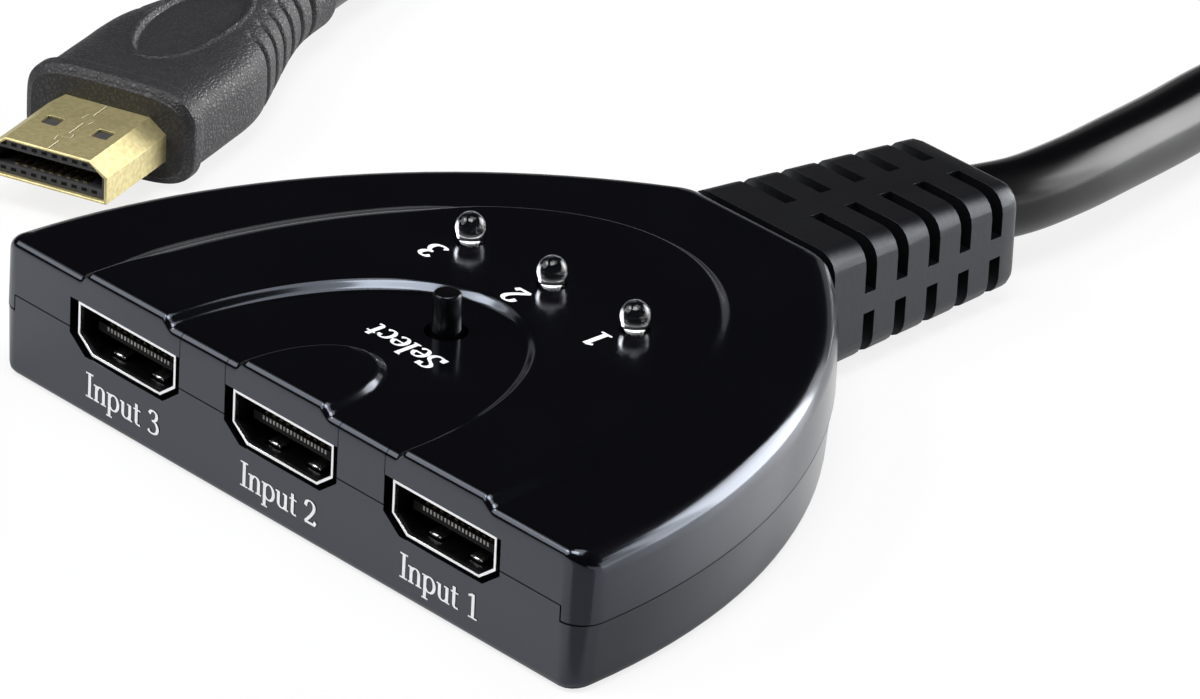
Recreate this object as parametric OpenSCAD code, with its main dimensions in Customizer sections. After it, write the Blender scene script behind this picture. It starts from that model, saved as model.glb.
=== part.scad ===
// Three-input video switch: a fan-shaped case with three ports, a select button and a captive lead.
// Millimetres. The case stands on z = 0 with its plan centred on the origin.
// The ports face -Y, and the lead leaves at +Y and ends in a plug that lies beside the case.

/* [Case] */
// Width across the front corners
case_w = 85; // [83:0.5:92]
// Depth from the front face to the rear edge
case_d = 62.2; // [60:0.2:68]
// Height to the raised bands
case_h = 15.5; // [15:0.1:17]
// Width of the rear edge before its corners are rounded
rear_w = 19; // [18:0.5:24]
// Thickness of the side and rear walls
wall = 1.8; // [1.4:0.1:2]
// Thickness of the front wall
front_wall = 2; // [1.6:0.1:2.4]
// Thickness of the roof under the low bands
roof_t = 1.6; // [1.2:0.1:1.8]
// Thickness of the floor
floor_t = 1.8; // [1.4:0.1:2.2]
// Radius of the front upright corners
corner_r = 2.8; // [2.6:0.1:4]
// Radius of the rear upright corners
rear_r = 5; // [3:0.5:7]
// Fillet along the top of the sides and the rear
top_fillet = 2.5; // [1.2:0.1:2.5]
// Fillet along the top of the front face
front_fillet = 0.9; // [0.3:0.1:1]
// Fillet round the foot of the case
base_fillet = 1.2; // [0.4:0.1:1.6]
// How far the walls lean in towards the roof and the floor
draft = 0.4; // [0.1:0.1:0.6]
// How far the upper shell overhangs the lower one at the seam
seam_step = 0.2; // [0.05:0.05:0.3]

/* [Seam] */
// Height of the seam on the sides and the rear
seam_z = 7.1; // [6.8:0.1:7.6]
// Height of the seam across the front face
front_seam_z = 8.75; // [8.2:0.05:9.2]
// Clearance between the two shells beside the front tab and the lip
seam_gap = 0.15; // [0.1:0.05:0.25]
// Height of the lip that keys the shells together
lip_h = 1.2; // [0.8:0.1:1.6]
// Thickness of that lip
lip_t = 0.9; // [0.6:0.1:1.1]

/* [Raised bands] */
// Height of the step between low and raised bands
step_h = 0.9; // [0.5:0.1:1.1]
// Width of each raised band at the front face
band_w = 12.3; // [11:0.1:13.5]
// Reach of the outer contour behind the front face
reach_1 = 50; // [46:0.5:52]
// Reach of the middle contour behind the front face
reach_2 = 27.5; // [26:0.5:29]
// Reach of the inner contour behind the front face
reach_3 = 11.2; // [9:0.1:14]
// Width of the slope at the outer and inner contours
slope_w = 1.6; // [0.8:0.1:2]
// Width of the slope at the middle contour
wide_slope_w = 1.4; // [0.8:0.1:1.8]

/* [Ports] */
// Distance of an outer port's middle from the side of the case
port_edge = 19.4; // [18.5:0.1:20.5]
// Width of the port opening
port_w = 14; // [13.9:0.05:14.2]
// Width of the flat at the narrow side of the opening
port_base_w = 10; // [9.6:0.1:10.4]
// Height of the slanting corners of the opening
port_kink = 1.5; // [1.3:0.05:1.7]
// Height of the port opening
port_h = 4.55; // [4.5:0.05:4.7]
// Sheet thickness of the port shell
port_t = 0.3; // [0.25:0.05:0.4]
// Depth of the port shell
port_d = 11.5; // [10.5:0.1:12.5]
// Depth of the port rim behind the front face
port_recess = 0.3; // [0.1:0.1:0.6]
// Clearance between the case and the port shell above and below it
port_gap = 0.22; // [0.15:0.01:0.35]
// Clearance between the case and the port shell on either side
port_side_gap = 0.9; // [0.5:0.1:1.1]
// Width of the port tongue
tongue_w = 12; // [11.6:0.1:12.4]
// Thickness of the port tongue
tongue_t = 0.95; // [0.8:0.05:1.1]
// Height of the tongue above the floor of the opening
tongue_z = 1.8; // [1.6:0.05:2]
// Distance between contacts in one row
contact_pitch = 1; // [0.95:0.01:1.05]

/* [Board] */
// Height of the underside of the board
board_z = 5; // [4.7:0.1:5.2]
// Thickness of the board
board_t = 1.6; // [1.2:0.1:1.7]
// Depth of the board
board_d = 49; // [47.5:0.5:50]
// Clearance between the board and the walls
board_gap = 0.4; // [0.3:0.1:0.8]
// Width of the switching chip
chip_w = 9; // [8:0.5:10]
// Width of each memory chip
memory_w = 5; // [4.5:0.1:5.5]
// Length of each small passive part
passive_l = 1.6; // [1:0.1:2]
// Distance between neighbouring passive parts
passive_pitch = 3; // [2.6:0.1:3.4]

/* [Screws] */
// Screw shank diameter
screw_d = 2.2; // [2:0.1:2.4]
// Screw head diameter
head_d = 4.2; // [4:0.1:4.4]
// Screw head height
head_h = 1.4; // [1.2:0.1:1.6]
// Depth of the recess that each screw head seats in
recess_z = 2.2; // [2:0.1:2.6]
// Screw length below its head
screw_l = 8; // [7:0.5:9]
// Boss diameter
boss_d = 5.6; // [5.4:0.1:6.2]
// Clearance round a screw head
head_gap = 0.2; // [0.1:0.05:0.3]
// Radial clearance round a screw shank in its pilot bore
pilot_gap = 0.05; // [0.03:0.01:0.08]

/* [Indicators] */
// Diameter of the lamp domes
led_d = 3; // [2.8:0.1:3.2]
// Diameter of the flange under each lamp
led_flange_d = 3.8; // [3.6:0.1:4]
// Thickness of that flange
led_flange_t = 1; // [0.8:0.1:1.1]
// Height of a dome above its band
led_rise = 3; // [2.2:0.1:3.2]
// Distance between neighbouring lamps
led_pitch = 11.9; // [10.5:0.1:12.5]
// Distance of the lamps behind the front face
led_y = 34.1; // [32:0.1:36]
// Clearance of a lamp in its hole
led_gap = 0.1; // [0.05:0.05:0.2]
// Distance between the two leads of a lamp
lead_pitch = 2.54; // [2:0.02:2.6]

/* [Select button] */
// Distance of the button behind the front face
button_y = 20.6; // [20:0.1:21]
// Height of the button above the board
button_h = 12.2; // [11.7:0.1:13.2]
// Button diameter where it leaves the switch
button_d = 3.4; // [3.2:0.1:3.6]
// Button diameter at its top
button_top_d = 2.8; // [2.5:0.1:3]
// Diameter of the hole in the roof
button_hole_d = 4.3; // [4.1:0.1:4.6]
// Downward travel of the button, half the height of its snap dome
button_travel = 0.25; // [0.2:0.05:0.3]
// Width of the switch body
tact_w = 6; // [5.8:0.1:6.2]
// Height of the switch body under its cover
tact_h = 3.1; // [3:0.1:3.4]
// Thickness of the switch cover
tact_cover_t = 0.3; // [0.2:0.05:0.4]

/* [Strain relief] */
// Length behind the case
relief_l = 27.6; // [25:0.1:30]
// Width at the case
relief_w = 20.8; // [19.5:0.1:21.5]
// Height at the case
relief_h = 13; // [12.2:0.1:13.2]
// Width at the lead
relief_end_w = 16.2; // [15:0.1:17]
// Height at the lead
relief_end_h = 11.6; // [10.8:0.1:12]
// Height of its middle at the case
relief_z = 7.5; // [7.3:0.05:7.7]
// Height of its middle at the lead
relief_end_z = 6.9; // [6.7:0.05:7.1]
// Radius of its long edges
relief_r = 2.4; // [1.5:0.1:2.8]
// Fillet of its end
relief_fillet = 0.9; // [0.4:0.1:1.2]
// Number of slits in each corner row
slit_n = 5; // [3:1:5]
// Width of a slit
slit_w = 1.6; // [1.2:0.1:1.8]
// Distance of the first slit behind the case
slit_start = 5.4; // [4.6:0.1:6]
// Distance of the last slit from the end at the lead
slit_end = 3.4; // [3:0.1:4]
// Width of the web between the slits on the top and bottom
web_top = 3.5; // [2.5:0.1:4.5]
// Width of the web between the slits on the sides
web_side = 2.2; // [1.4:0.1:2.8]
// Diameter of the solid core inside the slits
core_d = 8.4; // [8:0.1:8.6]
// Width of the neck through the rear wall
neck_w = 13; // [12:0.1:13.6]
// Height of the neck through the rear wall
neck_h = 8; // [7.5:0.1:8.4]
// How far the collar behind the wall stands past the neck
collar_rim = 1.3; // [0.8:0.1:1.5]
// Thickness of that collar
collar_t = 1.8; // [1.4:0.1:2.2]
// Clearance of the neck and collar in the case
neck_gap = 0.1; // [0.05:0.05:0.2]

/* [Lead] */
// Lead diameter
cord_d = 8; // [7.3:0.1:8]
// Diameter of each wire inside the case
wire_d = 1.4; // [1.2:0.1:1.5]

/* [Plug] */
// Length of bare shell in front of the hood
plug_bare = 12; // [11:0.1:13]
// Length of shell held inside the hood
plug_held = 4; // [3:0.5:5]
// Clearance of the plug in a port, on each side
plug_fit = 0.05; // [0.03:0.01:0.08]
// Length of the hood
hood_l = 40; // [38:0.5:44]
// Width of the hood at its lip
hood_w = 19.8; // [18.5:0.1:21]
// Thickness of the hood at its lip
hood_h = 10.8; // [10.4:0.1:11.4]
// Width of the hood at the lead
hood_end_w = 9.4; // [9:0.1:10]
// Number of grooves in each side of the hood
groove_n = 6; // [4:1:7]
// Depth of those grooves
groove_t = 0.6; // [0.3:0.1:0.8]

/* [Hidden] */
$fn = 96;
eps = 0.01;

// Plan of the case: the front is straight, each side is one arc square to it, the rear edge is short.
half_w = case_w / 2;
front_y = -case_d / 2;
rear_y = case_d / 2;
side_in = half_w - rear_w / 2;
side_r = (side_in * side_in + case_d * case_d) / (2 * side_in);
side_cx = half_w - side_r;
corner_cx = side_cx + sqrt(pow(side_r - corner_r, 2) - corner_r * corner_r);
corner_a = asin(corner_r / (side_r - corner_r));
rear_cx = side_cx + sqrt(pow(side_r - rear_r, 2) - pow(case_d - rear_r, 2));
rear_a = asin((case_d - rear_r) / (side_r - rear_r));
port_pitch = half_w - port_edge;

// Levels from the floor up
board_top = board_z + board_t;
low_z = case_h - step_h;
ceiling_z = low_z - roof_t;
open_z = board_top + port_t;
rim_y = front_y + port_recess;
port_back_y = rim_y + port_d;
board_front_y = front_y + front_wall + board_gap;
board_rear_y = board_front_y + board_d;

// Steps that the curved skins are divided into
corner_steps = 6;
side_steps = 24;
rear_steps = 5;
crown_steps = [0, 18, 36, 54, 72, 90];
slope_steps = [0, 0.2, 0.4, 0.6, 0.8, 1];
plan_angles = concat(
    [for (i = [0:corner_steps - 1]) mix(-90, corner_a, i / corner_steps)],
    [for (i = [0:side_steps]) mix(corner_a, rear_a, i / side_steps)],
    [for (i = [1:rear_steps]) mix(rear_a, 90, i / rear_steps)]
);

// Places of repeated pieces
port_x = [port_pitch, 0, -port_pitch];
led_x = [led_pitch, 0, -led_pitch];
lamp_y = front_y + led_y;
select_y = front_y + button_y;
front_boss = [half_w - 7.5, front_y + 9.5];
rear_boss = [15, board_rear_y - 4.5];
boss_at = [
    for (b = [front_boss, rear_boss], s = [1, -1])
        [s * b.x, b.y]
];
contact_t = 0.14;
contact_w = 0.45;
contact_rows = [10, 9];
insulator_back = 3.2;
fit_gap = 0.02;
lead_t = 0.5;
lead_below = 1.2;

// Select switch, heights above the board
pocket_z = 0.8;
pocket_d = tact_w - 1;
dome_h = 2 * button_travel;
flange_z = pocket_z + dome_h + fit_gap;
flange_d = pocket_d - 0.4;
cover_hole_d = button_d + 0.3;
button_chamfer = 0.3;

// Strain relief and its collar
relief_y = rear_y + relief_l;
cord_z = 7.3;
collar_y = rear_y - wall - seam_step - neck_gap;
collar_low_z = max(floor_t + neck_gap, relief_z - neck_h / 2 - collar_rim);
collar_top_z = min(ceiling_z - neck_gap, relief_z + neck_h / 2 + collar_rim);
slit_pitch = (relief_l - slit_start - slit_end) / (slit_n - 1);

// Route of the lead: out of the strain relief, down to the table, one turn back, and to the plug
cord_route = [
    [0, 58.7, 7.3], [0.7, 66, 6.7], [0, 74, 6.3], [-1.6, 82, 5.8], [-3.7, 91, 5.1], [-6, 101, 4.6],
    [-7.7, 113, 4.2], [-8.4, 127, 4.1], [-8.5, 142, 4.1], [-8, 158, 4.1], [-8, 174, 4.1], [-8, 190, 4.1],
    [-10.5, 203.5, 4.1], [-17.5, 215.5, 4.1], [-28, 224.5, 4.1], [-41, 229.5, 4.1],
    [-55, 229.5, 4.1], [-68, 224.5, 4.1], [-78.5, 215.5, 4.1], [-85.5, 203.5, 4.1],
    [-88, 190, 4.1], [-88.5, 175, 4.1], [-89, 159, 4.1], [-89.5, 143, 4.1], [-90, 127, 4.1],
    [-90.5, 111, 4.1], [-90.5, 96, 4.1], [-90.5, 82, 4.1], [-90, 70, 4.2], [-88, 59, 4.7],
    [-85.2, 49.6, 5.2], [-82.5, 42.2, 5.4]
];
cord_sides = 10;
cord_last = cord_route[len(cord_route) - 1];

// Plug: its tail is at the end of the route, and it lies on the table with its narrow side up
plug_turn = 20;
plug_l = plug_bare + hood_l;
plug_back = [-sin(plug_turn), cos(plug_turn), 0];
plug_mouth = [cord_last.x, cord_last.y, hood_h / 2] - plug_l * plug_back;
plug_w = port_w - 2 * plug_fit;
plug_base_w = port_base_w - 2 * plug_fit;
plug_hh = port_h - 2 * plug_fit;
slot_h = tongue_t + 2 * contact_t + 0.5;
hood_sides = 28;
rib_start = 15.5;
rib_end = hood_l - 5;

function mix(a, b, t) = a + (b - a) * t;
function clamp(t) = max(0, min(1, t));
function smooth(t) = clamp(t) * clamp(t) * (3 - 2 * clamp(t));
function unit(v) = v / norm(v);

// Outline of a port or plug: straight sides, with two slanting corners at the narrow side, grown by g.
function port_outline(w, base_w, kink, h, g) =
    let (
        slant = atan2(kink, (w - base_w) / 2),
        x0 = base_w / 2 + g * tan(slant / 2),
        x1 = w / 2 + g,
        z1 = kink - g * tan((90 - slant) / 2)
    )
    [[x0, -g], [x1, z1], [x1, h + g], [-x1, h + g], [-x1, z1], [-x0, -g]];

// 0 on the front face, rising round the corner to 1 along the side and the rear
function flank(a) = smooth((a + 90) / (corner_a + 90));

// The plan's point whose outward normal has angle a, moved in by inset
function plan_point(a, inset) =
    let (dir = [cos(a), sin(a)])
    a < corner_a ? [corner_cx, front_y + corner_r] + (corner_r - inset) * dir :
    a < rear_a ? [side_cx, front_y] + (side_r - inset) * dir :
    [rear_cx, rear_y - rear_r] + (rear_r - inset) * dir;

function both_sides(half) = concat(
    half,
    [for (i = [len(half) - 1:-1:0]) [-half[i].x, half[i].y, half[i].z]]
);

// Rings of the case: a wall ring leans only on the sides, a fillet ring has turned through s degrees
function wall_ring(z, inset) = both_sides([
    for (a = plan_angles)
        let (p = plan_point(a, inset * flank(a)))
        [p.x, p.y, z]
]);
function crown_ring(s) = both_sides([
    for (a = plan_angles)
        let (
            r = mix(front_fillet, min(top_fillet, corner_r - eps), flank(a)),
            p = plan_point(a, draft * flank(a) * (1 - r / corner_r) + r * (1 - cos(s)))
        )
        [p.x, p.y, low_z - r * (1 - sin(s))]
]);
function foot_ring(s) = both_sides([
    for (a = plan_angles)
        let (
            r = mix(front_fillet, base_fillet, flank(a)),
            p = plan_point(a, (seam_step + draft) * flank(a) + r * (1 - cos(s)))
        )
        [p.x, p.y, r * (1 - sin(s))]
]);

// One contour across the roof, from the front edge's fillet round a half ellipse and back to the front
function contour(a, reach, z, n) =
    let (
        edge = [
            for (i = [0:len(crown_steps) - 2])
                let (s = crown_steps[i])
                [a, front_y + front_fillet * (1 - cos(s)), z - front_fillet * (1 - sin(s))]
        ],
        arc = [
            for (i = [0:n - 1])
                let (t = 180 * i / (n - 1))
                [a * cos(t), front_y + front_fillet + (reach - front_fillet) * sin(t), z]
        ]
    )
    concat(edge, arc, [for (i = [len(edge) - 1:-1:0]) [-edge[i].x, edge[i].y, edge[i].z]]);

// Rounded rectangle in the XZ plane at y, corners of radius r
function rounded_ring(y, cz, w, h, r) = [
    for (q = [0:3], i = [0:5])
        let (
            a = q * 90 + i * 18,
            sx = q == 0 || q == 3 ? 1 : -1,
            sz = q < 2 ? 1 : -1
        )
        [sx * (w / 2 - r) + r * cos(a), y, cz + sz * (h / 2 - r) + r * sin(a)]
];

// Ring of a tube of diameter d, square to direction t
function tube_ring(p, t, d, sides) =
    let (
        across = unit(cross(t, [0, 0, 1])),
        up = cross(across, t)
    )
    [for (k = [0:sides - 1]) let (a = -360 * k / sides) p + d / 2 * (cos(a) * across + sin(a) * up)];
function tube_rings(route, first, last, d, sides) = [
    for (i = [0:len(route) - 1])
        let (t = i == 0 ? first : i == len(route) - 1 ? last : unit(route[i + 1] - route[i - 1]))
        tube_ring(route[i], t, d, sides)
];

// Closed skin through rings of equal length, each anticlockwise seen from the last ring
module skin(rings) {
    n = len(rings[0]);
    m = len(rings);
    sides = [
        for (j = [0:m - 2], i = [0:n - 1])
            let (a = j * n + i, b = j * n + (i + 1) % n)
            each [[a, a + n, b + n], [a, b + n, b]]
    ];
    caps = [[for (i = [0:n - 1]) i], [for (i = [n - 1:-1:0]) (m - 1) * n + i]];
    polyhedron([for (r = rings) each r], concat(sides, caps), convexity = 8);
}

// Extrudes a figure drawn in XZ from y0 to y1
module along_y(y0, y1) {
    translate([0, y1, 0])
        rotate([90, 0, 0])
            linear_extrude(y1 - y0)
                children();
}

// Plan of the space inside the walls
module inner_plan(d) {
    intersection() {
        translate([side_cx, front_y])
            circle(side_r - d);
        translate([-side_cx, front_y])
            circle(side_r - d);
        translate([-half_w, front_y + front_wall])
            square([case_w, case_d - front_wall - d]);
    }
}

// Outer form of the upper shell: fillet rings up the walls, then the contours of the bands to the middle
module upper_form() {
    rings = concat([wall_ring(seam_z, 0)], [for (s = crown_steps) crown_ring(s)]);
    n = len(rings[0]);
    top = len(rings) - 1;
    ends = top - 1;
    outer = port_pitch + band_w / 2;
    middle = port_pitch - band_w / 2;
    inner = band_w / 2;
    curves = [
        for (c = [[outer, reach_1, slope_w, 0], [middle, reach_2, wide_slope_w, 1], [inner, reach_3, slope_w, 0]])
            for (u = slope_steps)
                let (in = c[2] * (u - 0.5), up = abs(c[3] - smooth(u)))
                contour(c[0] - in, c[1] - in, low_z + step_h * up, n)
    ];
    m = len(curves[0]);
    base = len(rings) * n;
    edges = concat(
        [concat(
            [for (j = [1:ends]) j * n],
            [for (i = [0:n - 1]) top * n + i],
            [for (j = [ends:-1:1]) j * n + n - 1]
        )],
        [for (k = [0:len(curves) - 1]) [for (i = [0:m - 1]) base + k * m + i]]
    );
    last = edges[len(edges) - 1];
    walls = [
        for (j = [0:top - 1], i = [0:n - 2])
            let (a = j * n + i, b = a + 1)
            each [[a, a + n, b + n], [a, b + n, b]]
    ];
    bands = [
        for (k = [0:len(edges) - 2], i = [0:m - 2])
            each [
                [edges[k][i], edges[k + 1][i], edges[k + 1][i + 1]],
                [edges[k][i], edges[k + 1][i + 1], edges[k][i + 1]]
            ]
    ];
    brow = [
        for (i = [0:ends - 1])
            [last[i], last[m - 1 - i], last[m - 2 - i], last[i + 1]]
    ];
    crest = [[for (i = [ends + n - 1:-1:ends]) last[i]]];
    feet = [for (c = curves, i = [0, m - 1]) [c[i].x, front_y, seam_z]];
    below = base + len(curves) * m;
    right = concat([0], [for (k = [0:len(curves) - 1]) below + 2 * k]);
    left = concat([n - 1], [for (k = [0:len(curves) - 1]) below + 2 * k + 1]);
    front = concat(
        [
            for (k = [0:len(edges) - 2])
                each [
                    [right[k + 1], edges[k + 1][0], edges[k][0], right[k]],
                    [left[k], edges[k][m - 1], edges[k + 1][m - 1], left[k + 1]]
                ]
        ],
        [[left[len(edges) - 1], last[m - 1], last[0], right[len(edges) - 1]]]
    );
    seam = [concat(
        [for (i = [n / 2:n - 1]) i],
        [for (k = [1:len(edges) - 1]) left[k]],
        [for (k = [len(edges) - 1:-1:0]) right[k]],
        [for (i = [1:n / 2 - 1]) i]
    )];
    polyhedron(
        concat([for (r = rings) each r], [for (c = curves) each c], feet),
        concat(walls, bands, brow, crest, front, seam),
        convexity = 8
    );
}

// Cuts for the ports through the front wall
module port_cuts() {
    spare = 2 * (port_side_gap - port_gap);
    for (x = port_x)
        translate([x, 0, open_z])
            along_y(front_y - 1, front_y + front_wall + 1)
                polygon(port_outline(
                    port_w + spare, port_base_w + spare, port_kink, port_h, port_t + port_gap
                ));
}

// Opening in the rear wall for the neck of the strain relief
module neck_cut() {
    translate([-neck_w / 2 - neck_gap, rear_y - wall - 2, relief_z - neck_h / 2 - neck_gap])
        cube([neck_w + 2 * neck_gap, wall + 4, neck_h + 2 * neck_gap]);
}

// Collar of the strain relief behind the rear wall, grown by gap
module collar(gap) {
    translate([-neck_w / 2 - collar_rim - gap, collar_y - collar_t - gap, collar_low_z - gap])
        cube([
            neck_w + 2 * (collar_rim + gap),
            collar_t + 2 * gap,
            collar_top_z - collar_low_z + 2 * gap
        ]);
}

// Lower half of the front wall reaches up to the front seam between the corners
module front_tab(gap) {
    translate([-corner_cx - gap, front_y - gap * 4, seam_z - 1])
        cube([2 * (corner_cx + gap), front_wall + gap * 5, front_seam_z - seam_z + 1]);
}

module upper_shell() {
    color([0.03, 0.03, 0.035])
    difference() {
        union() {
            difference() {
                upper_form();
                translate([0, 0, seam_z - 1])
                    linear_extrude(ceiling_z - seam_z + 1)
                        inner_plan(wall);
            }
            for (p = boss_at)
                translate([p.x, p.y, board_top])
                    cylinder(h = ceiling_z - board_top + roof_t / 2, d = boss_d);
        }
        front_tab(seam_gap);
        port_cuts();
        neck_cut();
        for (p = boss_at)
            translate([p.x, p.y, board_top - 1])
                cylinder(h = recess_z + screw_l - board_top + 2, d = screw_d + 2 * pilot_gap);
        for (x = led_x)
            translate([x, lamp_y, 0]) {
                translate([0, 0, ceiling_z - 1])
                    cylinder(h = case_h, d = led_d + 2 * led_gap);
                translate([0, 0, ceiling_z - 1])
                    cylinder(h = led_flange_t + 1, d = led_flange_d + 2 * led_gap);
            }
        translate([0, select_y, ceiling_z - 1])
            cylinder(h = case_h, d = button_hole_d);
    }
}

module lower_shell() {
    color([0.03, 0.03, 0.035])
    difference() {
        union() {
            difference() {
                skin(concat(
                    [for (i = [len(crown_steps) - 1:-1:0]) foot_ring(crown_steps[i])],
                    [wall_ring(seam_z, seam_step)]
                ));
                translate([0, 0, floor_t])
                    linear_extrude(case_h)
                        inner_plan(wall + seam_step);
            }
            front_tab(0);
            intersection() {
                translate([0, 0, seam_z - lip_h])
                    linear_extrude(2 * lip_h)
                        difference() {
                            inner_plan(wall + seam_gap);
                            inner_plan(wall + seam_gap + lip_t);
                        }
                translate([-half_w, port_back_y, 0])
                    cube([case_w, case_d, case_h]);
            }
            for (p = boss_at)
                translate([p.x, p.y, floor_t / 2])
                    cylinder(h = board_z - floor_t / 2, d = boss_d + 1.4);
        }
        port_cuts();
        neck_cut();
        collar(neck_gap / 2);
        for (p = boss_at)
            translate([p.x, p.y, 0]) {
                translate([0, 0, -1])
                    cylinder(h = recess_z + 1, d = head_d + 2 * head_gap);
                translate([0, 0, -1])
                    cylinder(h = board_z + 2, d = screw_d + 2 * head_gap);
            }
    }
}

module main_board() {
    color([0.05, 0.25, 0.12])
    translate([0, 0, board_z])
    difference() {
        linear_extrude(board_t)
            intersection() {
                inner_plan(wall + seam_gap + lip_t + board_gap);
                translate([-half_w, board_front_y])
                    square([case_w, board_d]);
            }
        for (p = boss_at)
            translate([p.x, p.y, -1])
                cylinder(h = board_t + 2, d = screw_d + 2 * head_gap);
        for (x = led_x, s = [-0.5, 0.5])
            translate([x + s * lead_pitch, lamp_y, -1])
                cylinder(h = board_t + 2, d = lead_t + 0.4);
        for (sx = [-1, 1], sy = [-1, 1])
            translate([sx * (tact_w / 2 + 0.15), select_y + sy * 2.25, -1])
                cylinder(h = board_t + 2, d = 1.2);
    }
}

// A spring finger lanced from the port shell: it rises from the wall into the opening and dips at its tip
module port_finger(x, w) {
    translate([x - w / 2, 0, 0])
        rotate([90, 0, 90])
            linear_extrude(w)
                polygon([
                    [rim_y + 8.4, -port_t], [rim_y + 8.4, 0], [rim_y + 7.4, 0.05], [rim_y + 3.4, 0.6],
                    [rim_y + 1.6, 0.3], [rim_y + 1.6, 0.05], [rim_y + 3.4, 0.35], [rim_y + 7.4, -0.2],
                    [rim_y + 7.6, -port_t]
                ]);
}

module port_shell(i) {
    finger_w = 1.7;
    color([0.78, 0.78, 0.8])
    translate([port_x[i - 1], 0, open_z]) {
        difference() {
            along_y(rim_y, port_back_y)
                difference() {
                    polygon(port_outline(port_w, port_base_w, port_kink, port_h, port_t));
                    polygon(port_outline(port_w, port_base_w, port_kink, port_h, 0));
                }
            for (x = [-2.9, 2.9]) {
                translate([x - finger_w / 2 - 0.3, rim_y + 1.3, -1])
                    cube([finger_w + 0.6, 6.4, 2]);
                translate([x - finger_w / 2 - 0.3, rim_y + 1.3, port_h - 1])
                    cube([finger_w + 0.6, 6.4, 2]);
            }
        }
        for (x = [-2.9, 2.9]) {
            port_finger(x, finger_w);
            translate([0, 0, port_h])
                mirror([0, 0, 1])
                    port_finger(x, finger_w);
        }
    }
}

module port_insulator(i) {
    color([0.05, 0.05, 0.05])
    translate([port_x[i - 1], 0, open_z]) {
        along_y(port_back_y - insulator_back, port_back_y)
            polygon(port_outline(port_w, port_base_w, port_kink, port_h, -fit_gap));
        translate([-tongue_w / 2, rim_y + 1.5, tongue_z])
            cube([tongue_w, port_d - insulator_back - 1.5 + eps, tongue_t]);
    }
}

// Contacts on both faces of a tongue: ten above and nine below
module contact_rows_on(z0, z1, y0, y1) {
    for (row = [0, 1], k = [0:contact_rows[row] - 1])
        translate([
            (k - (contact_rows[row] - 1) / 2) * contact_pitch - contact_w / 2,
            y0,
            row == 0 ? z1 : z0 - contact_t
        ])
            cube([contact_w, y1 - y0, contact_t]);
}

module port_contacts(i) {
    color([0.8, 0.65, 0.3])
    translate([port_x[i - 1], 0, open_z])
        contact_rows_on(tongue_z, tongue_z + tongue_t, rim_y + 1.9, port_back_y - insulator_back);
}

module switch_chip() {
    color([0.08, 0.08, 0.08])
    translate([-chip_w / 2, lamp_y + 4, board_top + 0.1])
        cube([chip_w, chip_w, 1]);
}

module switch_chip_leads() {
    count = 14;
    color([0.75, 0.75, 0.76])
    translate([0, lamp_y + 4 + chip_w / 2, board_top])
        for (turn = [0:90:270], k = [0:count - 1])
            rotate(turn)
                translate([chip_w / 2, (k - (count - 1) / 2) * 0.5 - 0.11, 0])
                    cube([1, 0.22, 0.35]);
}

module memory_chips() {
    color([0.08, 0.08, 0.08])
    for (x = [port_pitch, tact_w + 0.7 * memory_w, -port_pitch])
        translate([x - memory_w / 2, port_back_y + memory_w / 2, board_top])
            cube([memory_w, 0.8 * memory_w, 0.3 * memory_w]);
}

module board_passives() {
    color([0.6, 0.5, 0.38])
    for (s = [-1, 1], k = [0:4])
        translate([s * (k + 2.6) * passive_pitch - passive_l / 2, lamp_y - 3 * passive_l, board_top])
            cube([passive_l, passive_l / 2, 0.375 * passive_l]);
}

module led_lens(i) {
    color([0.85, 0.88, 0.9])
    translate([led_x[i - 1], lamp_y, ceiling_z]) {
        cylinder(h = led_flange_t, d = led_flange_d);
        cylinder(h = case_h - ceiling_z + led_rise - led_d / 2, d = led_d);
        translate([0, 0, case_h - ceiling_z + led_rise - led_d / 2])
            sphere(d = led_d);
    }
}

module led_leads() {
    color([0.75, 0.75, 0.76])
    for (x = led_x, s = [-0.5, 0.5])
        translate([x + s * lead_pitch - lead_t / 2, lamp_y - lead_t / 2, board_z - lead_below])
            cube([lead_t, lead_t, ceiling_z - board_z + lead_below]);
}

module tact_base() {
    color([0.06, 0.06, 0.06])
    translate([0, select_y, board_top])
        difference() {
            translate([-tact_w / 2, -tact_w / 2, 0])
                cube([tact_w, tact_w, tact_h]);
            translate([0, 0, pocket_z])
                cylinder(h = tact_h, d = pocket_d);
        }
}

module tact_cover() {
    color([0.75, 0.75, 0.76])
    translate([0, select_y, board_top + tact_h])
        difference() {
            translate([-tact_w / 2, -tact_w / 2, 0])
                cube([tact_w, tact_w, tact_cover_t]);
            translate([0, 0, -1])
                cylinder(h = tact_cover_t + 2, d = cover_hole_d);
        }
}

module tact_pins() {
    color([0.75, 0.75, 0.76])
    for (sx = [-1, 1], sy = [-1, 1])
        translate([sx * (tact_w / 2 + 0.15) - 0.15, select_y + sy * 2.25 - 0.35, board_z - lead_below])
            cube([0.3, 0.7, board_t + lead_below + 1]);
}

module snap_dome() {
    color([0.7, 0.7, 0.72])
    translate([0, select_y, board_top + pocket_z])
        cylinder(h = dome_h, d1 = flange_d - 0.2, d2 = 1.6);
}

module select_button() {
    stem_z = tact_h + tact_cover_t;
    color([0.03, 0.03, 0.03])
    translate([0, select_y, board_top]) {
        translate([0, 0, flange_z])
            cylinder(h = tact_h - flange_z - fit_gap, d = flange_d);
        translate([0, 0, flange_z])
            cylinder(h = stem_z - flange_z + eps, d = button_d);
        translate([0, 0, stem_z])
            cylinder(h = button_h - button_chamfer - stem_z, d1 = button_d, d2 = button_top_d);
        translate([0, 0, button_h - button_chamfer - eps])
            cylinder(h = button_chamfer + eps, d1 = button_top_d, d2 = button_top_d - 2 * button_chamfer);
    }
}

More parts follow.
